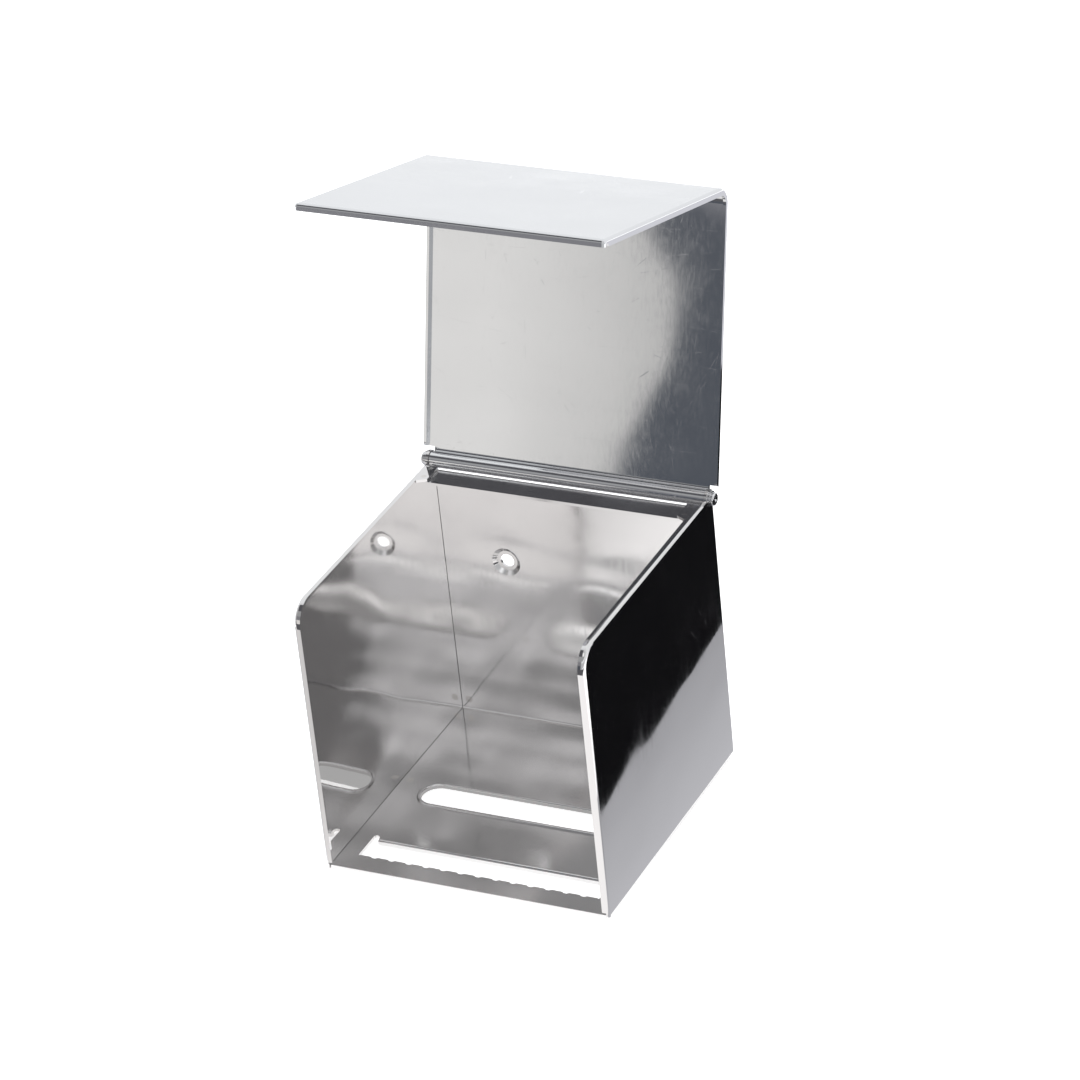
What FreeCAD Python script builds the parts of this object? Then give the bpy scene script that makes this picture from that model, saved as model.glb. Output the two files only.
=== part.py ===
"""Sheet-steel roll dispenser: an open box that screws to a wall, with an L-shaped lid on a pinned hinge.

Box coordinates: x across the width from the middle, y = 0 at the rear edges (the wall) with the front
towards -y, z = 0 at the lower edges of the side panels.  Every sub-part is then lowered by the height of
the wall screws, which puts the origin midway between the two screw holes, on the wall.
Lengths are in millimetres and angles in degrees.
"""
import math
import os

import FreeCAD
import Part
import Sketcher

SIZES = (
    # name, value, meaning
    ("width", 125, "over the outer faces of the two side panels"),
    ("depth", 127.5, "from the wall to the front edges of the side panels"),
    ("height", 123.5, "from the lower to the upper edges of the side panels"),
    ("sheet", 1.2, "thickness of all the sheet"),
    ("seam", 0.15, "gap between a bent sheet and the panel beside it"),
    ("flange", 2.9, "width of the narrow flange round each side panel"),
    ("bend_radius", 1.6, "outer radius of that flange's bend"),
    ("brow_radius", 10, "upper front corner of a side panel"),
    ("toe_radius", 2.2, "lower front corner of a side panel"),
    ("toe_gap", 4.2, "height at which the front flange starts"),
    ("foot_flange", 8.5, "width of the welding flanges behind the back and under the base"),
    ("foot_end", 3.5, "distance from a corner to the end of a welding flange"),
    ("cradle_height", 116.2, "height at which the back bends forward under the hinge"),
    ("cradle_angle", 54, "slope of that stretch, from upright"),
    ("cradle_radius", 1.8, "outer radius of its bends"),
    ("shelf_front", 20.6, "front edge of the back's top flange, from the wall"),
    ("shelf_inset", 2.1, "distance from an outer face to the end of that flange"),
    ("heel_radius", 2.2, "outer radius of the bend between back and base"),
    ("tab_width", 7, "side panel's top tab, from the outer face"),
    ("tab_rear", 9.8, "rear edge of the tab, from the wall"),
    ("tab_front", 20.2, "front corner of the tab, from the wall"),
    ("tab_slant", 2.1, "how far the tab's front edge runs forward to the flange"),
    ("screw_height", 78, "wall screw holes above the lower edges"),
    ("screw_spacing", 66, "distance between the two wall screw holes"),
    ("screw_radius", 3, "wall screw hole"),
    ("dimple_radius", 6.4, "pressed seat round a screw hole"),
    ("dimple_floor", 4.6, "flat floor of the seat, outer radius"),
    ("dimple_depth", 1.2, "depth of the seat"),
    ("dimple_draw", 0.45, "how far the slanted wall's rear face lies inside its front face"),
    ("window_centre", 67.4, "middle of the oblong window in the base, from the wall"),
    ("window_length", 97, "oblong window, end to end"),
    ("window_radius", 7.1, "half the width of the window"),
    ("bead_width", 1.7, "raised bead round the window"),
    ("bead_height", 0.8, "height of the bead above the base"),
    ("mouth_width", 106.8, "paper slot, end to end"),
    ("mouth_rear", 103.4, "rear edge of the paper slot, from the wall"),
    ("mouth_front", 117, "bottom of the notches in the slot's front edge, from the wall"),
    ("mouth_corner", 1.3, "corner radius of the slot"),
    ("relief_radius", 1.4, "relief hole at each end of the slot's lip"),
    ("relief_offset", 0.5, "centre of that hole, behind the slot's rear edge"),
    ("lip_inset", 2.8, "distance from the slot's end to the end of its lip"),
    ("tooth_pitch", 7.73, "spacing of the teeth along the slot"),
    ("tooth_count", 14, "number of teeth"),
    ("tooth_height", 1.4, "how far a tooth stands into the slot"),
    ("tooth_root", 6.4, "width of a tooth at its root"),
    ("tooth_crest", 2.6, "width of a tooth at its crest"),
    ("tooth_bevel", 0.7, "bevel on the upper side of a tooth's crest"),
    ("pivot_inset", 3.8, "hinge axis, from the wall"),
    ("pivot_drop", 0.2, "hinge axis below the upper edges"),
    ("ear_radius", 3.8, "rounded ear of a side panel round the hinge pin"),
    ("barrel_radius", 3.4, "outer radius of the rolled hinge barrel"),
    ("barrel_gap", 0.25, "gap between an end of the barrel and a side panel"),
    ("curl_angle", 55, "where the roll ends, from the lid's plane"),
    ("pin_clearance", 0.05, "radial running clearance of the pin in the barrel"),
    ("washer_radius", 3.3, "washer under each head of the pin"),
    ("washer_thickness", 1.1, "thickness of that washer"),
    ("head_radius", 2.8, "formed head at each end of the pin"),
    ("head_height", 1.6, "height of that head"),
    ("head_dimple", 1.2, "radius of the dimple in the end of that head"),
    ("head_dimple_depth", 0.6, "depth of that dimple"),
    ("head_round", 0.8, "rounding of that head"),
    ("lid_width", 130.8, "over the outer faces of the lid's side lips"),
    ("lid_lip", 3, "height of the lips round the lid, outside"),
    ("lid_clearance", 0.2, "gap between the closed lid's front lip and the side panels"),
    ("lid_reach", 117.5, "lid's second panel, from the outer face of the first"),
    ("lid_bend", 7.6, "outer radius of the bend between the two panels"),
    ("lid_edge", 1.6, "outer radius of the bends into the lips"),
    ("lip_foot", 4.8, "where the first panel's lips start, from the hinge axis"),
    ("lip_round", 1.6, "rounding of that end of a lip"),
    ("lip_notch", 1.5, "gap between the front lip and each side lip"),
    ("lip_slant", 1.6, "how far a side lip's front end slants back"),
    ("open_lean", 15.2, "how far the open lid leans back past upright"),
    ("spot_radius", 1.6, "weld spot on a welding flange"),
    ("tab_spot_radius", 1.1, "weld spot on a tab"),
    ("tab_spot_inset", 4.6, "tab weld spots, from the outer face"),
    ("tab_spot_margin", 1.8, "tab weld spots, from the tab's rear and front edges"),
    ("spot_inset", 4.6, "weld spots on the welding flanges, from the outer face"),
    ("back_spot_height", 7, "weld spot in the back, above the lower edges"),
    ("base_spot_distance", 60, "weld spot in the base, from the wall"),
    ("cut_margin", 1, "how far a cutting outline runs past the sheet"),
)
SIDES = {"left": -1, "right": 1}
TOLERANCE = 0.01
WHOLE_TURN = 360
QUARTER_TURN = math.pi / 2
PIVOT_Y = "-sizes.pivot_inset"
PIVOT_Z = "sizes.height - sizes.pivot_drop"
PIN_RADIUS = "sizes.barrel_radius - sizes.sheet - sizes.pin_clearance"


def make_sizes(document):
    """Put every driving dimension into the spreadsheet, under its own alias."""
    sheet = document.addObject("Spreadsheet::Sheet", "sizes")
    for row, (alias, number, meaning) in enumerate(SIZES, 1):
        sheet.set(f"A{row}", alias)
        sheet.set(f"B{row}", str(number))
        sheet.set(f"C{row}", meaning)
        sheet.setAlias(f"B{row}", alias)
    document.recompute()
    return sheet


def number(owner, expression):
    """Value of an expression, in millimetres."""
    return float(owner.evalExpression(expression))


def make_body(document, label):
    body = document.addObject("PartDesign::Body", label)
    body.Label = label
    return body


def lower_to_screws(part, y="0", z="0"):
    """Place a sub-part at a height and depth of the box, counted down from the wall screws."""
    part.setExpression("Placement.Base.y", y)
    part.setExpression("Placement.Base.z", f"{z} - sizes.screw_height")


def make_sketch(body, name, role, offset="0"):
    """A sketch on one of the body's own origin planes, moved along that plane's normal."""
    sketch = body.newObject("Sketcher::SketchObject", f"{body.Name}_{name}")
    plane = next(item for item in body.Origin.OriginFeatures if item.Role == role)
    sketch.AttachmentSupport = [(plane, "")]
    sketch.MapMode = "FlatFace"
    sketch.setExpression("AttachmentOffset.Base.z", offset)
    return sketch


def hold(sketch, kind, geometry, point, expression):
    """Hold one coordinate of a point at an expression, measured from the sketch's origin."""
    distance = number(sketch, expression)
    index = sketch.addConstraint(Sketcher.Constraint(kind, -1, 1, geometry, point, distance))
    sketch.setExpression(f"Constraints[{index}]", expression)


def hold_radius(sketch, geometry, expression):
    index = sketch.addConstraint(Sketcher.Constraint("Radius", geometry, number(sketch, expression)))
    sketch.setExpression(f"Constraints[{index}]", expression)


def add_outline(sketch, corners):
    """Closed outline of straight lines through corners given as pairs of expressions."""
    points = [FreeCAD.Vector(number(sketch, x), number(sketch, y), 0) for x, y in corners]
    first = sketch.GeometryCount
    following = points[1:] + points[:1]
    for start, end in zip(points, following):
        sketch.addGeometry(Part.LineSegment(start, end), False)
    for index, (x, y) in enumerate(corners):
        line = first + index
        next_line = first + (index + 1) % len(corners)
        sketch.addConstraint(Sketcher.Constraint("Coincident", line, 2, next_line, 1))
        hold(sketch, "DistanceX", line, 1, x)
        hold(sketch, "DistanceY", line, 1, y)


def add_rectangle(sketch, low_x, high_x, low_y, high_y):
    add_outline(sketch, ((low_x, low_y), (high_x, low_y), (high_x, high_y), (low_x, high_y)))


def add_circle(sketch, x, y, radius):
    centre = FreeCAD.Vector(number(sketch, x), number(sketch, y), 0)
    circle = Part.Circle(centre, FreeCAD.Vector(0, 0, 1), number(sketch, radius))
    index = sketch.addGeometry(circle, False)
    hold(sketch, "DistanceX", index, 3, x)
    hold(sketch, "DistanceY", index, 3, y)
    hold_radius(sketch, index, radius)


def add_oblong(sketch, half_length, centre_y, radius):
    """Oblong across x: two half circles joined by two tangent lines."""
    end_x = f"({half_length}) - ({radius})"
    reach = number(sketch, end_x)
    middle = number(sketch, centre_y)
    size = number(sketch, radius)
    normal = FreeCAD.Vector(0, 0, 1)
    right_circle = Part.Circle(FreeCAD.Vector(reach, middle, 0), normal, size)
    left_circle = Part.Circle(FreeCAD.Vector(-reach, middle, 0), normal, size)
    right = sketch.addGeometry(Part.ArcOfCircle(right_circle, -QUARTER_TURN, QUARTER_TURN), False)
    left = sketch.addGeometry(Part.ArcOfCircle(left_circle, QUARTER_TURN, 3 * QUARTER_TURN), False)
    upper = sketch.addGeometry(Part.LineSegment(FreeCAD.Vector(reach, middle + size, 0),
                                                FreeCAD.Vector(-reach, middle + size, 0)), False)
    lower = sketch.addGeometry(Part.LineSegment(FreeCAD.Vector(-reach, middle - size, 0),
                                                FreeCAD.Vector(reach, middle - size, 0)), False)
    sketch.addConstraint(Sketcher.Constraint("Tangent", right, 2, upper, 1))
    sketch.addConstraint(Sketcher.Constraint("Tangent", upper, 2, left, 1))
    sketch.addConstraint(Sketcher.Constraint("Tangent", left, 2, lower, 1))
    sketch.addConstraint(Sketcher.Constraint("Tangent", lower, 2, right, 1))
    for arc, x in ((right, end_x), (left, f"-({end_x})")):
        hold(sketch, "DistanceX", arc, 3, x)
        hold(sketch, "DistanceY", arc, 3, centre_y)
        hold_radius(sketch, arc, radius)


def pad(body, sketch, length, reverse=False, symmetric=False):
    """Extrude a sketch along its normal, against it, or half each way."""
    feature = body.newObject("PartDesign::Pad", f"{sketch.Name}_pad")
    feature.Profile = sketch
    feature.setExpression("Length", length)
    feature.Reversed = reverse
    feature.SideType = "Symmetric" if symmetric else "One side"
    body.Document.recompute()
    return feature


def pocket(body, sketch, length, reverse=False, symmetric=False):
    """Cut a sketch into the body, against its normal unless reversed, and insist that it cut something."""
    before = body.Shape.Volume
    feature = body.newObject("PartDesign::Pocket", f"{sketch.Name}_pocket")
    feature.Profile = sketch
    feature.setExpression("Length", length)
    feature.Reversed = reverse
    feature.SideType = "Symmetric" if symmetric else "One side"
    body.Document.recompute()
    if feature.Shape.Volume >= before:
        raise RuntimeError(f"{feature.Name} cuts nothing")
    return feature


def lies_at(edge, **places):
    """True if the whole edge lies at each given coordinate."""
    box = edge.BoundBox
    for axis, place in places.items():
        low = getattr(box, f"{axis.upper()}Min")
        high = getattr(box, f"{axis.upper()}Max")
        if abs(low - place) > TOLERANCE or abs(high - place) > TOLERANCE:
            return False
    return True


def dress(body, kind, name, size_name, expression, chosen):
    """Fillet or chamfer the edges of the body's tip that the test chooses."""
    base = body.Tip
    edges = [f"Edge{index}" for index, edge in enumerate(base.Shape.Edges, 1) if chosen(edge)]
    if not edges:
        raise RuntimeError(f"{body.Name}: no edge found for {name}")
    feature = body.newObject(f"PartDesign::{kind}", f"{body.Name}_{name}")
    feature.Base = (base, edges)
    feature.setExpression(size_name, expression)
    body.Document.recompute()
    return feature


def fillet(body, name, radius, chosen):
    return dress(body, "Fillet", name, "Radius", radius, chosen)


def chamfer(body, name, size, chosen):
    return dress(body, "Chamfer", name, "Size", size, chosen)


def tab_spots():
    """Distances from the wall of the weld spots on a tab."""
    return ("sizes.tab_rear + sizes.tab_spot_margin", "sizes.tab_front - sizes.tab_spot_margin")


def make_back_and_base(document):
    """Back, cradle under the hinge, top flange and base, bent from one sheet."""
    body = make_body(document, "back_and_base")
    half = "(sizes.width / 2 - sizes.sheet - sizes.seam)"
    slope = "tan(sizes.cradle_angle * 1 deg)"
    shelf_top = "(sizes.height - sizes.sheet)"
    shelf_rear = f"(sizes.sheet + ({shelf_top} - sizes.cradle_height) * {slope})"
    lower_mitre = "sizes.sheet * tan(sizes.cradle_angle / 2 * 1 deg)"
    upper_mitre = "sizes.sheet * tan((90 - sizes.cradle_angle) / 2 * 1 deg)"
    profile = make_sketch(body, "profile", "YZ_Plane")
    add_outline(profile, (
        ("sizes.sheet - sizes.depth", "sizes.sheet"),
        ("-sizes.sheet", "sizes.sheet"),
        ("-sizes.sheet", "sizes.cradle_height"),
        (f"-{shelf_rear}", shelf_top),
        ("-sizes.shelf_front", shelf_top),
        ("-sizes.shelf_front", f"{shelf_top} - sizes.sheet"),
        (f"-{shelf_rear} - {upper_mitre}", f"{shelf_top} - sizes.sheet"),
        ("-2 * sizes.sheet", f"sizes.cradle_height - {lower_mitre}"),
        ("-2 * sizes.sheet", "2 * sizes.sheet"),
        ("sizes.sheet - sizes.depth", "2 * sizes.sheet")))
    pad(body, profile, f"2 * {half}", symmetric=True)
    round_sheet_bends(body, shelf_top, shelf_rear)
    for side, sign in SIDES.items():
        trim = make_sketch(body, f"{side}_shelf_end", "XZ_Plane", "-sizes.cut_margin")
        add_rectangle(trim, f"{sign} * (sizes.width / 2 - sizes.shelf_inset)",
                      f"{sign} * (sizes.width / 2 + sizes.cut_margin)",
                      "sizes.cradle_height - sizes.sheet", "sizes.height + sizes.cut_margin")
        pocket(body, trim, "sizes.shelf_front + 2 * sizes.cut_margin", reverse=True)
    press_screw_seats(body)
    cut_window(body)
    cut_mouth(body)
    cut_back_spots(body)
    lower_to_screws(body)
    return body


def round_sheet_bends(body, shelf_top, shelf_rear):
    """Round both faces of the heel and cradle bends."""
    sheet = number(body, "sizes.sheet")
    cradle = number(body, "sizes.cradle_height")
    top = number(body, shelf_top)
    rear = number(body, shelf_rear)
    inner_cradle = number(body, "sizes.cradle_height - sizes.sheet * tan(sizes.cradle_angle / 2 * 1 deg)")
    inner_rear = number(body, f"{shelf_rear} + sizes.sheet * tan((90 - sizes.cradle_angle) / 2 * 1 deg)")
    fillet(body, "heel_outside", "sizes.heel_radius", lambda edge: lies_at(edge, y=-sheet, z=sheet))
    fillet(body, "heel_inside", "sizes.heel_radius - sizes.sheet",
           lambda edge: lies_at(edge, y=-2 * sheet, z=2 * sheet))
    fillet(body, "cradle_outside", "sizes.cradle_radius",
           lambda edge: lies_at(edge, y=-2 * sheet, z=inner_cradle) or lies_at(edge, y=-rear, z=top))
    fillet(body, "cradle_inside", "sizes.cradle_radius - sizes.sheet",
           lambda edge: lies_at(edge, y=-sheet, z=cradle) or lies_at(edge, y=-inner_rear, z=top - sheet))


def press_screw_seats(body):
    """Two round seats pressed towards the wall, each with a screw hole in its floor."""
    for side, sign in SIDES.items():
        centre_x = f"{sign} * sizes.screw_spacing / 2"
        opening = make_sketch(body, f"{side}_seat_opening", "XZ_Plane")
        add_circle(opening, centre_x, "sizes.screw_height", "sizes.dimple_radius")
        pocket(body, opening, "2 * sizes.sheet + sizes.cut_margin", reverse=True)
        seat = make_sketch(body, f"{side}_seat_profile", "XY_Plane", "sizes.screw_height")
        edge = "(sizes.dimple_radius + sizes.seam)"
        front = "-2 * sizes.sheet"
        add_outline(seat, (
            (f"{centre_x} + sizes.screw_radius", f"{front} + sizes.dimple_depth"),
            (f"{centre_x} + sizes.dimple_floor", f"{front} + sizes.dimple_depth"),
            (f"{centre_x} + sizes.dimple_radius", front),
            (f"{centre_x} + {edge}", front),
            (f"{centre_x} + {edge}", "-sizes.sheet"),
            (f"{centre_x} + sizes.dimple_radius - sizes.dimple_draw", "-sizes.sheet"),
            (f"{centre_x} + sizes.dimple_floor - sizes.dimple_draw", "0"),
            (f"{centre_x} + sizes.screw_radius", "0")))
        axis = seat.addGeometry(Part.LineSegment(
            FreeCAD.Vector(number(body, centre_x), -number(body, "sizes.sheet"), 0),
            FreeCAD.Vector(number(body, centre_x), 0, 0)), True)
        hold(seat, "DistanceX", axis, 1, centre_x)
        hold(seat, "DistanceX", axis, 2, centre_x)
        hold(seat, "DistanceY", axis, 1, "-sizes.sheet")
        hold(seat, "DistanceY", axis, 2, "0")
        dish = body.newObject("PartDesign::Revolution", f"{body.Name}_{side}_seat")
        dish.Profile = seat
        dish.ReferenceAxis = (seat, ["Axis0"])
        dish.Angle = WHOLE_TURN
        body.Document.recompute()


def cut_window(body):
    """Oblong window in the base, with a rounded bead raised round it."""
    half = "sizes.window_length / 2"
    centre_y = "-sizes.window_centre"
    bead = make_sketch(body, "bead", "XY_Plane", "2 * sizes.sheet")
    add_oblong(bead, f"{half} + sizes.bead_width", centre_y, "sizes.window_radius + sizes.bead_width")
    pad(body, bead, "sizes.bead_height")
    window = make_sketch(body, "window", "XY_Plane", "2 * sizes.sheet + sizes.bead_height")
    add_oblong(window, half, centre_y, "sizes.window_radius")
    pocket(body, window, "sizes.bead_height + sizes.sheet + sizes.cut_margin")
    top = number(body, "2 * sizes.sheet + sizes.bead_height")
    fillet(body, "bead_round", "sizes.bead_height - sizes.seam", lambda edge: lies_at(edge, z=top))


def cut_mouth(body):
    """Paper slot across the front of the base: a lip turned down behind it and teeth in front."""
    end = "sizes.mouth_width / 2"
    rear = "-sizes.mouth_rear"
    front = "-sizes.mouth_front"
    top = "2 * sizes.sheet"
    depth = "sizes.sheet + sizes.cut_margin"
    mouth = make_sketch(body, "mouth", "XY_Plane", top)
    add_rectangle(mouth, f"-{end}", end, front, rear)
    pocket(body, mouth, depth)
    front_y = number(body, front)
    fillet(body, "mouth_round", "sizes.mouth_corner",
           lambda edge: edge.BoundBox.XLength < TOLERANCE and lies_at(edge, y=front_y))
    relief = make_sketch(body, "relief", "XY_Plane", top)
    for sign in SIDES.values():
        add_circle(relief, f"{sign} * ({end} - sizes.relief_radius)", f"{rear} + sizes.relief_offset",
                   "sizes.relief_radius")
    pocket(body, relief, depth)
    lip = make_sketch(body, "lip", "XY_Plane", top)
    add_rectangle(lip, f"sizes.lip_inset - {end}", f"{end} - sizes.lip_inset",
                  f"{rear} - sizes.sheet", f"{rear} + sizes.sheet / 2")
    pad(body, lip, "2 * sizes.sheet", reverse=True)
    lip_front = number(body, f"{rear} - sizes.sheet")
    top_z = number(body, top)
    fillet(body, "lip_round", "sizes.sheet - sizes.seam",
           lambda edge: lies_at(edge, y=lip_front, z=top_z))
    add_teeth(body, front, top)


def add_teeth(body, front, top):
    """One tooth on the slot's front edge, repeated along x, then bevelled at the crests."""
    first_x = "-(sizes.tooth_count - 1) * sizes.tooth_pitch / 2"
    crest = f"{front} + sizes.tooth_height"
    tooth = make_sketch(body, "tooth", "XY_Plane", top)
    add_outline(tooth, (
        (f"{first_x} - sizes.tooth_root / 2", front),
        (f"{first_x} - sizes.tooth_root / 2", f"{front} - sizes.sheet"),
        (f"{first_x} + sizes.tooth_root / 2", f"{front} - sizes.sheet"),
        (f"{first_x} + sizes.tooth_root / 2", front),
        (f"{first_x} + sizes.tooth_crest / 2", crest),
        (f"{first_x} - sizes.tooth_crest / 2", crest)))
    feature = pad(body, tooth, "sizes.sheet", reverse=True)
    pattern = body.newObject("PartDesign::LinearPattern", f"{body.Name}_teeth")
    pattern.Originals = [feature]
    pattern.Direction = (tooth, ["H_Axis"])
    pattern.Mode = "Spacing"
    pattern.setExpression("Offset", "sizes.tooth_pitch")
    pattern.setExpression("Occurrences", "sizes.tooth_count")
    body.Tip = pattern
    body.Document.recompute()
    crest_y = number(body, crest)
    top_z = number(body, top)
    chamfer(body, "tooth_bevels", "sizes.tooth_bevel", lambda edge: lies_at(edge, y=crest_y, z=top_z))


def cut_back_spots(body):
    """Holes that the weld spots fill, in the top flange, the back and the base."""
    shelf = make_sketch(body, "shelf_spots", "XY_Plane", "sizes.height")
    back = make_sketch(body, "back_spots", "XZ_Plane", "2 * sizes.sheet")
    base = make_sketch(body, "base_spots", "XY_Plane", "2 * sizes.sheet")
    for sign in SIDES.values():
        tab_x = f"{sign} * (sizes.width / 2 - sizes.tab_spot_inset)"
        spot_x = f"{sign} * (sizes.width / 2 - sizes.spot_inset)"
        for distance in tab_spots():
            add_circle(shelf, tab_x, f"-({distance})", "sizes.tab_spot_radius")
        add_circle(back, spot_x, "sizes.back_spot_height", "sizes.spot_radius")
        add_circle(base, spot_x, "-sizes.base_spot_distance", "sizes.spot_radius")
    pocket(body, shelf, "2 * sizes.sheet + sizes.cut_margin")
    pocket(body, back, "sizes.sheet + sizes.cut_margin")
    pocket(body, base, "sizes.sheet + sizes.cut_margin")


def make_side_panel(document, side, sign):
    """Side panel with a narrow flange all round, wider welding flanges, a top tab and a hinge ear."""
    body = make_body(document, f"{side}_side_panel")
    right = sign > 0
    outer = f"{sign} * sizes.width / 2"
    inner = f"{sign} * (sizes.width / 2 - sizes.flange)"
    outline = make_sketch(body, "outline", "YZ_Plane", outer)
    add_rectangle(outline, "-sizes.depth", "0", "0", "sizes.height")
    pad(body, outline, "sizes.flange", reverse=right)
    outer_x = number(body, outer)
    depth = number(body, "sizes.depth")
    height = number(body, "sizes.height")
    sheet = number(body, "sizes.sheet")
    hollow = make_sketch(body, "hollow", "YZ_Plane", inner)
    add_rectangle(hollow, "sizes.sheet - sizes.depth", "-sizes.sheet",
                  "sizes.sheet", "sizes.height - sizes.sheet")
    pocket(body, hollow, "sizes.flange - sizes.sheet", reverse=right)
    fillet(body, "brow_inside", "sizes.brow_radius - sizes.sheet",
           lambda edge: lies_at(edge, y=sheet - depth, z=height - sheet))
    fillet(body, "brow", "sizes.brow_radius", lambda edge: lies_at(edge, y=-depth, z=height))
    fillet(body, "toe", "sizes.toe_radius", lambda edge: lies_at(edge, y=-depth, z=0))
    fillet(body, "bend", "sizes.bend_radius", lambda edge: lies_at(edge, x=outer_x))
    gaps = make_sketch(body, "gaps", "YZ_Plane", inner)
    add_rectangle(gaps, "-sizes.tab_rear", "sizes.cut_margin",
                  "sizes.cradle_height - sizes.sheet", "sizes.height + sizes.cut_margin")
    add_rectangle(gaps, "-sizes.depth - sizes.cut_margin", "sizes.sheet - sizes.depth",
                  "-sizes.cut_margin", "sizes.toe_gap")
    pocket(body, gaps, "sizes.flange - sizes.sheet", reverse=right)
    add_panel_flanges(body, sign)
    add_ear(body, sign, outer)
    cut_panel_spots(body, sign)
    lower_to_screws(body)
    return body


def add_panel_flanges(body, sign):
    """Top tab, and the welding flanges behind the back and under the base."""
    root_x = f"{sign} * (sizes.width / 2 - sizes.bend_radius)"
    flange_x = f"{sign} * (sizes.width / 2 - sizes.flange)"
    tab_x = f"{sign} * (sizes.width / 2 - sizes.tab_width)"
    foot_x = f"{sign} * (sizes.width / 2 - sizes.foot_flange)"
    tab = make_sketch(body, "tab", "XY_Plane", "sizes.height - sizes.sheet")
    add_outline(tab, (
        (root_x, "-sizes.tab_rear"),
        (tab_x, "-sizes.tab_rear"),
        (tab_x, "-sizes.tab_front"),
        (flange_x, "-sizes.tab_front - sizes.tab_slant"),
        (root_x, "-sizes.tab_front - sizes.tab_slant")))
    pad(body, tab, "sizes.sheet")
    rear = make_sketch(body, "rear_flange", "XZ_Plane")
    add_rectangle(rear, root_x, foot_x, "sizes.foot_end", "sizes.cradle_height - sizes.sheet")
    pad(body, rear, "sizes.sheet")
    foot = make_sketch(body, "foot_flange", "XY_Plane")
    add_rectangle(foot, root_x, foot_x, "sizes.foot_end - sizes.depth", "-sizes.foot_end")
    pad(body, foot, "sizes.sheet")


def add_ear(body, sign, outer):
    """Rounded ear at the upper rear corner, bored for the hinge pin."""
    ear = make_sketch(body, "ear", "YZ_Plane", outer)
    add_circle(ear, PIVOT_Y, PIVOT_Z, "sizes.ear_radius")
    pad(body, ear, "sizes.sheet", reverse=sign > 0)
    bore = make_sketch(body, "pin_hole", "YZ_Plane", outer)
    add_circle(bore, PIVOT_Y, PIVOT_Z, PIN_RADIUS)
    pocket(body, bore, "2 * sizes.sheet", reverse=sign < 0)


def cut_panel_spots(body, sign):
    """Holes that the weld spots fill, in the tab and the two welding flanges."""
    tab_x = f"{sign} * (sizes.width / 2 - sizes.tab_spot_inset)"
    spot_x = f"{sign} * (sizes.width / 2 - sizes.spot_inset)"
    tab = make_sketch(body, "tab_spots", "XY_Plane", "sizes.height")
    for distance in tab_spots():
        add_circle(tab, tab_x, f"-({distance})", "sizes.tab_spot_radius")
    pocket(body, tab, "sizes.sheet")
    rear = make_sketch(body, "rear_spots", "XZ_Plane")
    add_circle(rear, spot_x, "sizes.back_spot_height", "sizes.spot_radius")
    pocket(body, rear, "sizes.sheet", reverse=True)
    foot = make_sketch(body, "foot_spots", "XY_Plane")
    add_circle(foot, spot_x, "-sizes.base_spot_distance", "sizes.spot_radius")
    pocket(body, foot, "sizes.sheet", reverse=True)


def make_lid(document):
    """L-shaped lid: two panels with lips, and a strip at the foot rolled into the hinge barrel.

    It is drawn upright about the hinge axis, with the first panel rising behind the axis and the
    second reaching forward, and its placement leans it back into the open position.
    """
    body = make_body(document, "lid")
    back = "sizes.barrel_radius"
    rise = "(sizes.depth - sizes.pivot_inset + sizes.lid_lip + sizes.lid_clearance)"
    reach = "(sizes.barrel_radius - sizes.lid_reach)"
    bend_lid_panels(body, back, rise, reach)
    notch_lid_corners(body, rise, reach)
    roll_barrel(body)
    body.Placement = FreeCAD.Placement(FreeCAD.Vector(), FreeCAD.Vector(-1, 0, 0), 1)
    body.setExpression("Placement.Rotation.Angle", "sizes.open_lean * 1 deg")
    lower_to_screws(body, PIVOT_Y, PIVOT_Z)
    return body


def bend_lid_panels(body, back, rise, reach):
    """The two panels as a thick L, hollowed from inside to leave the sheet and its lips."""
    lip_y = f"{back} - sizes.lid_lip"
    lip_z = f"{rise} - sizes.lid_lip"
    outline = make_sketch(body, "outline", "YZ_Plane")
    add_outline(outline, ((back, "sizes.lip_foot"), (back, rise), (reach, rise), (reach, lip_z),
                          (lip_y, lip_z), (lip_y, "sizes.lip_foot")))
    pad(body, outline, "sizes.lid_width", symmetric=True)
    hollow_lid(body, back, rise, reach)
    back_y = number(body, back)
    top_z = number(body, rise)
    front_y = number(body, reach)
    inner_y = number(body, lip_y)
    inner_z = number(body, lip_z)
    foot_z = number(body, "sizes.lip_foot")
    sheet = number(body, "sizes.sheet")
    side_x = number(body, "sizes.lid_width / 2")
    fillet(body, "lip_corner", "sizes.lid_bend - sizes.lid_lip",
           lambda edge: lies_at(edge, y=inner_y, z=inner_z))
    fillet(body, "main_bend_inside", "sizes.lid_bend - sizes.sheet",
           lambda edge: lies_at(edge, y=back_y - sheet, z=top_z - sheet))
    fillet(body, "main_bend", "sizes.lid_bend", lambda edge: lies_at(edge, y=back_y, z=top_z))
    fillet(body, "lip_foot_round", "sizes.lip_round", lambda edge: lies_at(edge, y=inner_y, z=foot_z))

    def on_side_bend(edge):
        box = edge.BoundBox
        on_side = lies_at(edge, x=side_x) or lies_at(edge, x=-side_x)
        on_outer_face = lies_at(edge, y=back_y) or lies_at(edge, z=top_z)
        on_main_bend = box.YMax > back_y - TOLERANCE and box.ZMax > top_z - TOLERANCE
        return on_side and (on_outer_face or on_main_bend)

    fillet(body, "side_bends", "sizes.lid_edge", on_side_bend)
    fillet(body, "front_bend", "sizes.lid_edge", lambda edge: lies_at(edge, y=front_y, z=top_z))


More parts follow.
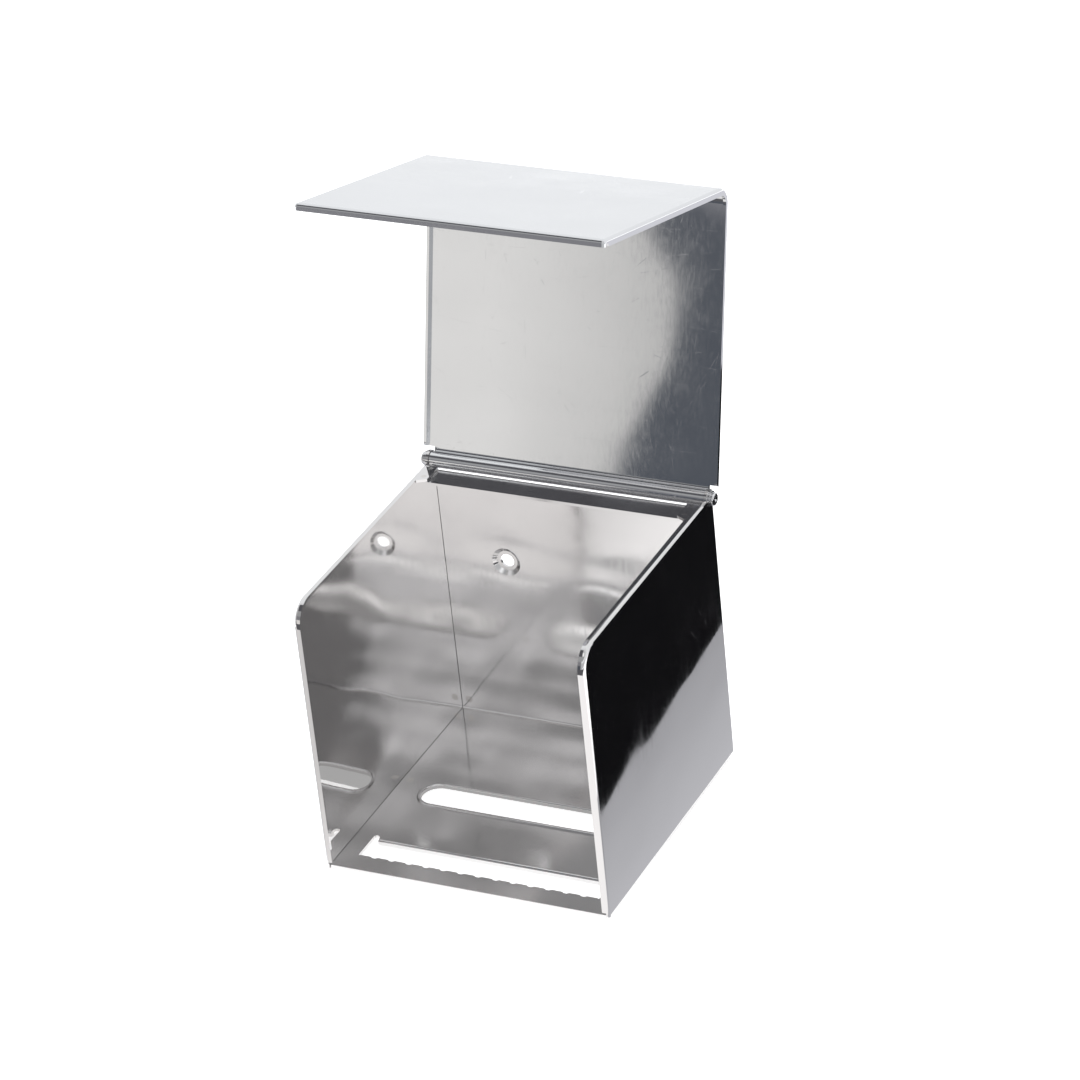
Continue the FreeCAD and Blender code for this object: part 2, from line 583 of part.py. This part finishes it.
def hollow_lid(body, back, rise, reach):
    """Take away the inside of the thick L, between its lips."""
    past_y = f"{back} - sizes.lid_lip - sizes.cut_margin"
    past_z = f"{rise} - sizes.lid_lip - sizes.cut_margin"
    foot = "sizes.lip_foot - sizes.cut_margin"
    hollow = make_sketch(body, "hollow", "YZ_Plane")
    add_outline(hollow, (
        (f"{back} - sizes.sheet", foot),
        (f"{back} - sizes.sheet", f"{rise} - sizes.sheet"),
        (f"{reach} + sizes.sheet", f"{rise} - sizes.sheet"),
        (f"{reach} + sizes.sheet", past_z),
        (past_y, past_z),
        (past_y, foot)))
    pocket(body, hollow, "sizes.lid_width - 2 * sizes.sheet", symmetric=True)


def notch_lid_corners(body, rise, reach):
    """Gap between the front lip and each side lip, with the side lip's end slanting back."""
    front = f"{reach} + sizes.sheet"
    rear = f"{front} + sizes.lip_notch"
    upper = f"{rise} - sizes.lid_edge - sizes.seam"
    lower = f"{rise} - sizes.lid_lip - sizes.cut_margin"
    for side, sign in SIDES.items():
        notch = make_sketch(body, f"{side}_notch", "YZ_Plane", f"{sign} * sizes.lid_width / 2")
        add_outline(notch, ((front, upper), (rear, upper), (f"{rear} + sizes.lip_slant", lower),
                            (front, lower)))
        pocket(body, notch, "sizes.sheet + sizes.cut_margin", reverse=sign < 0)


def roll_barrel(body):
    """Narrower strip below the first panel, rolled forward round the hinge axis."""
    roll = make_sketch(body, "roll", "YZ_Plane")
    outer = number(roll, "sizes.barrel_radius")
    inner = number(roll, "sizes.barrel_radius - sizes.sheet")
    start = math.radians(number(roll, "sizes.curl_angle"))
    turn = math.radians(WHOLE_TURN)
    top = number(roll, "sizes.lip_foot + sizes.cut_margin")
    origin = FreeCAD.Vector()
    normal = FreeCAD.Vector(0, 0, 1)

    def at(radius, angle):
        return Part.Circle(origin, normal, radius).value(angle)

    segments = (
        Part.LineSegment(FreeCAD.Vector(outer, top, 0), at(outer, 0)),
        Part.ArcOfCircle(Part.Circle(origin, normal, outer), start, turn),
        Part.LineSegment(at(outer, start), at(inner, start)),
        Part.ArcOfCircle(Part.Circle(origin, normal, inner), start, turn),
        Part.LineSegment(at(inner, 0), FreeCAD.Vector(inner, top, 0)),
        Part.LineSegment(FreeCAD.Vector(inner, top, 0), FreeCAD.Vector(outer, top, 0)))
    back_line, outer_arc, end_line, inner_arc, front_line, top_line = [
        roll.addGeometry(segment, False) for segment in segments]
    joints = ((back_line, 2, outer_arc, 2), (outer_arc, 1, end_line, 1), (end_line, 2, inner_arc, 1),
              (inner_arc, 2, front_line, 1), (front_line, 2, top_line, 1), (top_line, 2, back_line, 1))
    for joint in joints:
        roll.addConstraint(Sketcher.Constraint("Coincident", *joint))
    for arc in (outer_arc, inner_arc):
        roll.addConstraint(Sketcher.Constraint("Coincident", arc, 3, -1, 1))
        roll.addConstraint(Sketcher.Constraint("PointOnObject", arc, 2, -1))
    roll.addConstraint(Sketcher.Constraint("Vertical", back_line))
    roll.addConstraint(Sketcher.Constraint("Vertical", front_line))
    roll.addConstraint(Sketcher.Constraint("Horizontal", top_line))
    hold_radius(roll, outer_arc, "sizes.barrel_radius")
    hold_radius(roll, inner_arc, "sizes.barrel_radius - sizes.sheet")
    hold(roll, "DistanceY", back_line, 1, "sizes.lip_foot + sizes.cut_margin")
    hold(roll, "DistanceX", outer_arc, 1, "sizes.barrel_radius * cos(sizes.curl_angle * 1 deg)")
    hold(roll, "DistanceX", inner_arc, 1,
         "(sizes.barrel_radius - sizes.sheet) * cos(sizes.curl_angle * 1 deg)")
    pad(body, roll, "sizes.width - 2 * sizes.sheet - 2 * sizes.barrel_gap", symmetric=True)


def make_hinge_pin(document):
    """Full-width pin with a formed head at each end, turned about the hinge axis."""
    body = make_body(document, "hinge_pin")
    neck_x = "(sizes.width / 2 + sizes.washer_thickness)"
    end_x = f"({neck_x} + sizes.head_height)"
    dimple_x = f"({end_x} - sizes.head_dimple_depth)"
    profile = make_sketch(body, "profile", "XY_Plane")
    add_outline(profile, (
        (f"-{dimple_x}", "0"), (dimple_x, "0"), (end_x, "sizes.head_dimple"), (end_x, "sizes.head_radius"),
        (neck_x, "sizes.head_radius"), (neck_x, PIN_RADIUS), (f"-{neck_x}", PIN_RADIUS),
        (f"-{neck_x}", "sizes.head_radius"), (f"-{end_x}", "sizes.head_radius"),
        (f"-{end_x}", "sizes.head_dimple")))
    turned = body.newObject("PartDesign::Revolution", "hinge_pin_turned")
    turned.Profile = profile
    turned.ReferenceAxis = (profile, ["H_Axis"])
    turned.Angle = WHOLE_TURN
    document.recompute()
    tip_x = number(body, end_x)
    head_radius = number(body, "sizes.head_radius")
    fillet(body, "heads", "sizes.head_round",
           lambda edge: edge.BoundBox.ZMax > head_radius - TOLERANCE
           and (lies_at(edge, x=tip_x) or lies_at(edge, x=-tip_x)))
    lower_to_screws(body, PIVOT_Y, PIVOT_Z)
    return body


def make_cylinder(document, name, radius, length, direction, place):
    """Cylinder along a direction from a place given as three expressions in box coordinates."""
    cylinder = document.addObject("Part::Cylinder", name)
    cylinder.setExpression("Radius", radius)
    cylinder.setExpression("Height", length)
    rotation = FreeCAD.Rotation(FreeCAD.Vector(0, 0, 1), direction)
    cylinder.Placement = FreeCAD.Placement(FreeCAD.Vector(), rotation)
    for axis, expression in zip("xyz", place):
        cylinder.setExpression(f"Placement.Base.{axis}", expression)
    return cylinder


def make_washer(document, side, sign):
    """Plain washer on the pin, between a side panel's ear and the pin's head."""
    label = f"{side}_washer"
    direction = FreeCAD.Vector(sign, 0, 0)
    place = (f"{sign} * sizes.width / 2", PIVOT_Y, PIVOT_Z)
    disc = make_cylinder(document, f"{label}_disc", "sizes.washer_radius", "sizes.washer_thickness",
                         direction, place)
    hole = make_cylinder(document, f"{label}_hole", PIN_RADIUS, "sizes.washer_thickness",
                         direction, place)
    washer = document.addObject("Part::Cut", label)
    washer.Base = disc
    washer.Tool = hole
    washer.Label = label
    lower_to_screws(washer)
    return washer


def make_welds(document, label, radius, direction, places):
    """Equal weld spots, each a short plug through two sheets."""
    plugs = [make_cylinder(document, f"{label}_spot_{index}", radius, "2 * sizes.sheet", direction, place)
             for index, place in enumerate(places, 1)]
    row = document.addObject("Part::Compound", label)
    row.Links = plugs
    row.Label = label
    lower_to_screws(row)
    return row


def make_side_welds(document, side, sign):
    """The weld spots that hold one side panel to the back's top flange, the back and the base."""
    tab_x = f"{sign} * (sizes.width / 2 - sizes.tab_spot_inset)"
    spot_x = f"{sign} * (sizes.width / 2 - sizes.spot_inset)"
    tab_places = [(tab_x, f"-({distance})", "sizes.height - 2 * sizes.sheet") for distance in tab_spots()]
    back_place = (spot_x, "0", "sizes.back_spot_height")
    base_place = (spot_x, "-sizes.base_spot_distance", "0")
    up = FreeCAD.Vector(0, 0, 1)
    forward = FreeCAD.Vector(0, -1, 0)
    return [
        make_welds(document, f"{side}_tab_welds", "sizes.tab_spot_radius", up, tab_places),
        make_welds(document, f"{side}_back_weld", "sizes.spot_radius", forward, [back_place]),
        make_welds(document, f"{side}_base_weld", "sizes.spot_radius", up, [base_place])]


def check(document, parts):
    """Stop if any object failed to build or any sub-part has no sound shape."""
    for item in document.Objects:
        if "Invalid" in item.State or "Error" in item.State:
            raise RuntimeError(f"{item.Name} failed: {item.State}")
    for part in parts:
        shape = part.Shape
        if shape.isNull() or not shape.isValid() or not shape.Solids:
            raise RuntimeError(f"{part.Label} has no valid solid")
        print(f"{part.Label}: {len(shape.Solids)} solid, {shape.Volume:.0f} mm3, {shape.BoundBox}")


def main():
    document = FreeCAD.newDocument("roll_dispenser")
    make_sizes(document)
    parts = [make_back_and_base(document), make_lid(document), make_hinge_pin(document)]
    for side, sign in SIDES.items():
        parts.append(make_side_panel(document, side, sign))
        parts.append(make_washer(document, side, sign))
        parts.extend(make_side_welds(document, side, sign))
    document.recompute()
    check(document, parts)
    os.makedirs("parts", exist_ok=True)
    for part in parts:
        part.Shape.exportStep(f"parts/{part.Label}.step")


main()
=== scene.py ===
"""Looks of the sheet-steel roll dispenser: polished steel, weld spots, studio and camera.

Lengths are in metres.  x runs to the right, y into the wall and z up, as in the frame.
"""

import math

import bpy
from mathutils import Matrix, Vector


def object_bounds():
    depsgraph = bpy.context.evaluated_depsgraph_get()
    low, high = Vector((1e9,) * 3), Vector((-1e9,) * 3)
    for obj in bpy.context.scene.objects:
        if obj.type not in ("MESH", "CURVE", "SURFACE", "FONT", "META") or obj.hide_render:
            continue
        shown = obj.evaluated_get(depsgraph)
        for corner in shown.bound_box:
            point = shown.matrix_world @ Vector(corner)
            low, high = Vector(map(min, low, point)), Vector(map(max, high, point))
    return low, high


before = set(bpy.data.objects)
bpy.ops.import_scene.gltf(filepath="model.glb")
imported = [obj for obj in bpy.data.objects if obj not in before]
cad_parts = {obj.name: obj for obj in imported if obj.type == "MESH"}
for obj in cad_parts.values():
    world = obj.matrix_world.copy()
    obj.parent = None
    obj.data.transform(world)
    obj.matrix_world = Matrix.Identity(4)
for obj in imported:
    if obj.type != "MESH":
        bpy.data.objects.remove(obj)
CAD_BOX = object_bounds()

MM = 0.001
FLOOR_Z = CAD_BOX[0].z
CARD_LIFT = 0.5 * MM
WHITE = (1, 1, 1, 1)

# Camera: aimed at a point near the middle of the box, from the front right and above.
CAMERA_AIM = Vector((4.21, -41.17, 37.93)) * MM
CAMERA_AZIMUTH = math.radians(27.81)
CAMERA_ELEVATION = math.radians(29.53)
CAMERA_ROLL = math.radians(-6.07)
CAMERA_DISTANCE = 1.862
CAMERA_LENS = 155.8
CAMERA_SENSOR = 36

# Steels: tint, roughness where clear and where hazy, height and stretch of the sheet's slow waves, and
# how much a scratch adds to the roughness.
EVEN = (1, 1, 1)
STEELS = {
    "polished_sheet": ((0.745, 0.735, 0.732), (0.07, 0.15), 1.1 * MM, (1, 1, 2.5), 0.10),
    "polished_side": ((0.745, 0.735, 0.732), (0.025, 0.06), 1.2 * MM, (1, 1, 1.5), 0.10),
    "satin_lid": ((0.76, 0.765, 0.775), (0.045, 0.075), 0.3 * MM, EVEN, 0.16),
    "turned_steel": ((0.72, 0.72, 0.73), (0.12, 0.20), 0, EVEN, 0.10),
    "weld_metal": ((0.70, 0.68, 0.66), (0.14, 0.24), 0, EVEN, 0),
}
STEEL_OF_NODE = {
    "back_and_base": "polished_sheet",
    "left_side_panel": "polished_side",
    "right_side_panel": "polished_side",
    "lid": "satin_lid",
    "hinge_pin": "turned_steel",
    "left_washer": "turned_steel",
    "right_washer": "turned_steel",
}
LIGHTER = 1.03
DARKER = 0.96

# Patterns on the steel: scales are cells per metre, and a range of a noise is where it takes effect.
NOISE_MIDDLE = (0.3, 0.7)
HAZE_SCALE = 45
SMEAR_SCALE = 16
SMEAR_STRETCH = (1, 1, 2.2)
GRAIN_SCALE = 900
GRAIN_STRETCH = (1, 1, 0.06)
GRAIN_RANGE = (0.45, 0.75)
GRAIN_ROUGHNESS = 0.03
GRAIN_HEIGHT = 0.0015 * MM
WAVE_SCALE = 14
SCRATCH_WIDTH = 0.004
BREAKS_PER_SCRATCH = 2.3
BREAK_RANGE = (0.52, 0.62)
UPRIGHT_SCRATCHES = (110, (0.3, 0.2, 0.9), (1, 1, 0.08))
LEVEL_SCRATCHES = (80, (0.9, 0.1, 0.2), (0.1, 1, 1))

# Brightness of the room, of a band in its front right, and where each stretch starts and ends, as
# parts of a direction's length.
ROOM_BEHIND = 0.98
ROOM_FRONT_LEFT = 0.40
BAND = 1.15
BELOW_BAND = 0.60
ABOVE_BAND = 0.42
BAND_RISES = (0.34, 0.45)
BAND_FALLS = (0.510, 0.548)
LEFT_TO_RIGHT = (-0.35, 0.15)
FRONT_TO_REAR = (-0.55, 0.1)
ROOM_RED = 0.985
ROOM_BLUE = 1.02

# Floor and lamp.
FLOOR_SIZE = 4.0
FLOOR_SCALE = 3
FLOOR_SHADES = (0.84, 0.87)
FLOOR_ROUGHNESS = 0.7
FLOOR_GLOW = 0.75
LAMP_PLACE = (-0.3, 0.2, 1.6)
LAMP_SIZE = 1.4
LAMP_POWER = 10

# Cards lying on the floor, which keep the pale floor out of the steel's reflections.  A fade runs from
# full brightness at its first place to a part of it at its second.
FLOOR_CARDS = (
    # name, left, right, front, rear, shade, fade
    ("grey_floor_card", 0.064, 0.150, -0.130, 0.400, (0.60, 0.605, 0.64), (0.066, 0.105, 0.72)),
    ("rear_floor_card", 0.151, 1.200, 0.100, 1.400, (0.78, 0.78, 0.83), None),
    ("back_floor_card", -0.0679, 0.0635, 0.170, 0.900, (0.70, 0.705, 0.74), None),
    ("left_floor_card", -0.900, -0.068, -0.128, 0.900, (0.62, 0.625, 0.66), None),
    ("shade_under_window", -0.0625, 0.0625, -0.0692, 0.000, (0.50, 0.50, 0.50), None),
    ("front_floor_card", -0.300, 0.200, -0.320, -0.130, (0.80, 0.79, 0.79), (-0.10, -0.02, 1.5)),
    ("dark_floor_card", -1.500, 1.000, -2.500, -0.320, (0.12, 0.12, 0.13), None),
)

# Cards standing on the floor: the black one close along the right side, the others far in front, where
# the open lid's inner face shows them behind the light card.
UPRIGHT_CARDS = (
    # name, one foot, other foot, height, shade
    ("black_card", (0.0950, -0.078), (0.1348, 0.400), 0.120, (0.006, 0.006, 0.007)),
    ("dark_card", (-0.500, -1.010), (-0.200, -1.010), 0.278, (0.10, 0.11, 0.13)),
    ("dim_card", (-1.200, -1.050), (-0.200, -1.050), 0.600, (0.26, 0.26, 0.28)),
)

# Light card: far in front, straight at its left edge and bulging at its right one.
LIGHT_CARD_Y = -1.0
LIGHT_CARD_LEFT = -0.75
LIGHT_CARD_TOP = 0.200
LIGHT_CARD_FOOT = -0.425
LIGHT_CARD_BULGE = (
    # x, z, going up
    (-0.409, 0.038), (-0.395, 0.063), (-0.384, 0.094), (-0.3775, 0.123),
    (-0.379, 0.143), (-0.386, 0.157), (-0.411, 0.181))
LIGHT_CARD_SHADE = (0.90, 0.885, 0.865)
LIGHT_CARD_FADE = (-0.50, -0.39, 0.72)

# Two cards above the front: a level dark one on the left and an upright light one on the right.
DARK_PANEL_AZIMUTH = math.radians(-44)
DARK_PANEL_ELEVATION = math.radians(55)
DARK_PANEL_DISTANCE = 1.5
DARK_PANEL_CORNERS = ((-0.55, -0.45), (0.25, -0.45), (0.25, 0.35), (-0.55, 0.35))
DARK_PANEL_SHADE = (0.11, 0.11, 0.12)
SOFTBOX_AZIMUTH = math.radians(28)
SOFTBOX_ELEVATION = math.radians(58)
SOFTBOX_DISTANCE = 2.2
SOFTBOX_CORNERS = ((-0.7, -0.52), (0.5, -0.52), (0.5, 0.4), (-0.7, 0.4))
SOFTBOX_TURN = 0.1
SOFTBOX_SHADE = (1.15, 1.15, 1.15)

GLOSSY_BOUNCES = 10


def direction_to(azimuth, elevation):
    """Unit vector towards an azimuth right of the front and an elevation above level."""
    return Vector((math.sin(azimuth) * math.cos(elevation),
                   -math.cos(azimuth) * math.cos(elevation),
                   math.sin(elevation)))


def make_camera():
    back = direction_to(CAMERA_AZIMUTH, CAMERA_ELEVATION)
    level_right = Vector((0, 0, 1)).cross(back).normalized()
    level_up = back.cross(level_right)
    right = level_right * math.cos(CAMERA_ROLL) + level_up * math.sin(CAMERA_ROLL)
    up = level_up * math.cos(CAMERA_ROLL) - level_right * math.sin(CAMERA_ROLL)
    data = bpy.data.cameras.new("camera")
    data.lens = CAMERA_LENS
    data.sensor_width = CAMERA_SENSOR
    camera = bpy.data.objects.new("camera", data)
    camera.matrix_world = Matrix((
        (right.x, up.x, back.x, 0),
        (right.y, up.y, back.y, 0),
        (right.z, up.z, back.z, 0),
        (0, 0, 0, 1)))
    camera.location = CAMERA_AIM + back * CAMERA_DISTANCE
    bpy.context.scene.collection.objects.link(camera)
    bpy.context.scene.camera = camera


class Nodes:
    """Short helper for building a node tree of a material or a world."""

    def __init__(self, tree):
        self.tree = tree

    def add(self, kind, inputs=None, **settings):
        node = self.tree.nodes.new(kind)
        for key, setting in settings.items():
            setattr(node, key, setting)
        for key, setting in (inputs or {}).items():
            if isinstance(setting, bpy.types.NodeSocket):
                self.tree.links.new(setting, node.inputs[key])
            else:
                node.inputs[key].default_value = setting
        return node

    def link(self, source, target):
        self.tree.links.new(source, target)

    def coordinates(self, stretch=EVEN, turn=(0, 0, 0)):
        """Object coordinates in metres, turned and stretched along each axis."""
        source = self.add("ShaderNodeTexCoord").outputs["Object"]
        return self.add("ShaderNodeMapping", {
            "Vector": source, "Rotation": turn, "Scale": stretch}).outputs["Vector"]

    def noise(self, scale, detail, stretch=EVEN):
        return self.add("ShaderNodeTexNoise", {
            "Vector": self.coordinates(stretch), "Scale": scale, "Detail": detail}).outputs["Fac"]

    def spread(self, value, low, high, source=NOISE_MIDDLE):
        """Map a value from its source range to low and high, held at both ends."""
        start, end = source
        return self.add("ShaderNodeMapRange", {
            "Value": value, "From Min": start, "From Max": end,
            "To Min": low, "To Max": high}).outputs["Result"]

    def maths(self, operation, first, second):
        return self.add("ShaderNodeMath", {0: first, 1: second}, operation=operation).outputs[0]

    def colour(self, red, green, blue):
        return self.add("ShaderNodeCombineColor", {0: red, 1: green, 2: blue}).outputs[0]

    def bump(self, height, distance, normal=None):
        inputs = {"Height": height, "Distance": distance}
        if normal is not None:
            inputs["Normal"] = normal
        return self.add("ShaderNodeBump", inputs).outputs["Normal"]

    def scratches(self, scale, turn, stretch):
        """Sparse straight scratches at one angle: thin cell borders of a stretched pattern, in pieces."""
        cells = self.add("ShaderNodeTexVoronoi", {"Vector": self.coordinates(stretch, turn), "Scale": scale},
                         feature="DISTANCE_TO_EDGE").outputs["Distance"]
        line = self.spread(cells, 1, 0, (0, SCRATCH_WIDTH))
        breaks = self.spread(self.noise(scale * BREAKS_PER_SCRATCH, detail=1), 0, 1, BREAK_RANGE)
        return self.maths("MULTIPLY", line, breaks)


def new_material(name):
    material = bpy.data.materials.new(name)
    material.use_nodes = True
    return material, Nodes(material.node_tree), material.node_tree.nodes["Principled BSDF"]


def polished_steel(name, tint, roughness, wave_height, wave_stretch, scratch_roughness):
    """Polished sheet: slow waves of the rolled sheet, patches of haze, grain and sparse scratches."""
    material, nodes, shader = new_material(name)
    shader.inputs["Metallic"].default_value = 1
    haze = nodes.noise(HAZE_SCALE, detail=4)
    smear = nodes.noise(SMEAR_SCALE, detail=2, stretch=SMEAR_STRETCH)
    grain = nodes.noise(GRAIN_SCALE, detail=3, stretch=GRAIN_STRETCH)
    wave = nodes.noise(WAVE_SCALE, detail=1, stretch=wave_stretch)

    lighter = [min(1, part * LIGHTER) for part in tint]
    darker = [part * DARKER for part in tint]
    colour = nodes.add("ShaderNodeMix", {
        "Factor": smear, 6: (*darker, 1), 7: (*lighter, 1)}, data_type="RGBA").outputs[2]
    nodes.link(colour, shader.inputs["Base Color"])

    clear, hazy = roughness
    surface = nodes.maths("ADD", nodes.spread(haze, clear, hazy),
                          nodes.spread(grain, 0, GRAIN_ROUGHNESS, GRAIN_RANGE))
    scratch = nodes.maths("MAXIMUM", nodes.scratches(*UPRIGHT_SCRATCHES), nodes.scratches(*LEVEL_SCRATCHES))
    rub = nodes.maths("MULTIPLY", scratch, scratch_roughness)
    nodes.link(nodes.maths("ADD", surface, rub), shader.inputs["Roughness"])

    normal = nodes.bump(grain, GRAIN_HEIGHT, normal=nodes.bump(wave, wave_height))
    nodes.link(normal, shader.inputs["Normal"])
    return material


def assign_steels():
    """Give every CAD node its steel; the nodes that aren't listed are weld spots."""
    steels = {name: polished_steel(name, *look) for name, look in STEELS.items()}
    for name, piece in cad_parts.items():
        for slot in piece.material_slots:
            slot.material = steels[STEEL_OF_NODE.get(name, "weld_metal")]


def glow(name, shade, fade):
    """Material of a studio card: light of one shade, or fading to the right between two places."""
    material = bpy.data.materials.new(name)
    material.use_nodes = True
    tree = material.node_tree
    tree.nodes.clear()
    nodes = Nodes(tree)
    emission = nodes.add("ShaderNodeEmission", {"Color": (*shade, 1)})
    if fade is not None:
        start, end, least = fade
        place = nodes.add("ShaderNodeSeparateXYZ", {"Vector": nodes.coordinates()}).outputs["X"]
        nodes.link(nodes.spread(place, 1, least, (start, end)), emission.inputs["Strength"])
    output = nodes.add("ShaderNodeOutputMaterial")
    nodes.link(emission.outputs[0], output.inputs["Surface"])
    return material


def make_flat(name, corners, material):
    """Flat studio piece with one face."""
    mesh = bpy.data.meshes.new(name)
    mesh.from_pydata([Vector(corner) for corner in corners], [], [range(len(corners))])
    mesh.materials.append(material)
    flat = bpy.data.objects.new(name, mesh)
    bpy.context.scene.collection.objects.link(flat)
    return flat


def make_card(name, corners, shade, fade=None):
    """Flat studio card that only reflections see."""
    card = make_flat(name, corners, glow(name, shade, fade))
    card.visible_camera = False
    card.visible_diffuse = False
    card.visible_shadow = False
    card.visible_transmission = False


def make_floor_cards():
    z = FLOOR_Z + CARD_LIFT
    for name, left, right, front, rear, shade, fade in FLOOR_CARDS:
        make_card(name, [(left, front, z), (right, front, z), (right, rear, z), (left, rear, z)], shade, fade)


def make_upright_cards():
    for name, (x0, y0), (x1, y1), height, shade in UPRIGHT_CARDS:
        top = FLOOR_Z + height
        make_card(name, [(x0, y0, FLOOR_Z), (x1, y1, FLOOR_Z), (x1, y1, top), (x0, y0, top)], shade)


def make_light_card():
    outline = [(LIGHT_CARD_LEFT, FLOOR_Z), (LIGHT_CARD_FOOT, FLOOR_Z), *LIGHT_CARD_BULGE,
               (LIGHT_CARD_FOOT, LIGHT_CARD_TOP), (LIGHT_CARD_LEFT, LIGHT_CARD_TOP)]
    make_card("light_card", [(x, LIGHT_CARD_Y, z) for x, z in outline], LIGHT_CARD_SHADE, LIGHT_CARD_FADE)


def make_high_cards():
    dark = direction_to(DARK_PANEL_AZIMUTH, DARK_PANEL_ELEVATION) * DARK_PANEL_DISTANCE
    make_card("dark_panel", [dark + Vector((x, y, 0)) for x, y in DARK_PANEL_CORNERS], DARK_PANEL_SHADE)
    light = direction_to(SOFTBOX_AZIMUTH, SOFTBOX_ELEVATION) * SOFTBOX_DISTANCE
    make_card("softbox", [light + Vector((x, x * SOFTBOX_TURN, z)) for x, z in SOFTBOX_CORNERS],
              SOFTBOX_SHADE)


def make_floor():
    """Pale floor with a soft glow, so that it stays white under the box."""
    material, nodes, shader = new_material("floor")
    shade = nodes.spread(nodes.noise(FLOOR_SCALE, detail=2), *FLOOR_SHADES)
    nodes.link(nodes.colour(shade, shade, shade), shader.inputs["Base Color"])
    shader.inputs["Roughness"].default_value = FLOOR_ROUGHNESS
    shader.inputs["Emission Color"].default_value = WHITE
    shader.inputs["Emission Strength"].default_value = FLOOR_GLOW
    corners = [(x * FLOOR_SIZE, y * FLOOR_SIZE, FLOOR_Z) for x, y in ((-1, -1), (1, -1), (1, 1), (-1, 1))]
    make_flat("floor", corners, material)


def make_lamp():
    """Soft lamp overhead that lights the floor and stays out of reflections."""
    data = bpy.data.lights.new("top_light", "AREA")
    data.shape = "SQUARE"
    data.size = LAMP_SIZE
    data.energy = LAMP_POWER
    lamp = bpy.data.objects.new("top_light", data)
    lamp.location = LAMP_PLACE
    lamp.rotation_euler = (-lamp.location).to_track_quat("-Z", "Y").to_euler()
    lamp.visible_glossy = False
    bpy.context.scene.collection.objects.link(lamp)


def make_world():
    """Soft room: brightest behind the box, dimmer in front of it, with a soft band on the front right."""
    world = bpy.data.worlds.new("world")
    world.use_nodes = True
    nodes = Nodes(world.node_tree)
    direction = nodes.add("ShaderNodeTexCoord").outputs["Generated"]
    parts = nodes.add("ShaderNodeSeparateXYZ", {"Vector": direction}).outputs
    rising = nodes.spread(parts["Z"], BELOW_BAND, BAND, BAND_RISES)
    falling = nodes.spread(parts["Z"], BAND, ABOVE_BAND, BAND_FALLS)
    front_right = nodes.maths("MINIMUM", rising, falling)
    front = nodes.spread(parts["X"], ROOM_FRONT_LEFT, front_right, LEFT_TO_RIGHT)
    room = nodes.spread(parts["Y"], front, ROOM_BEHIND, FRONT_TO_REAR)
    colour = nodes.colour(nodes.maths("MULTIPLY", room, ROOM_RED), room,
                          nodes.maths("MULTIPLY", room, ROOM_BLUE))
    nodes.link(colour, world.node_tree.nodes["Background"].inputs["Color"])
    bpy.context.scene.world = world


make_camera()
make_world()
make_floor()
make_lamp()
assign_steels()
make_floor_cards()
make_upright_cards()
make_light_card()
make_high_cards()

bpy.context.scene.view_settings.view_transform = "Standard"
bpy.context.scene.cycles.glossy_bounces = GLOSSY_BOUNCES
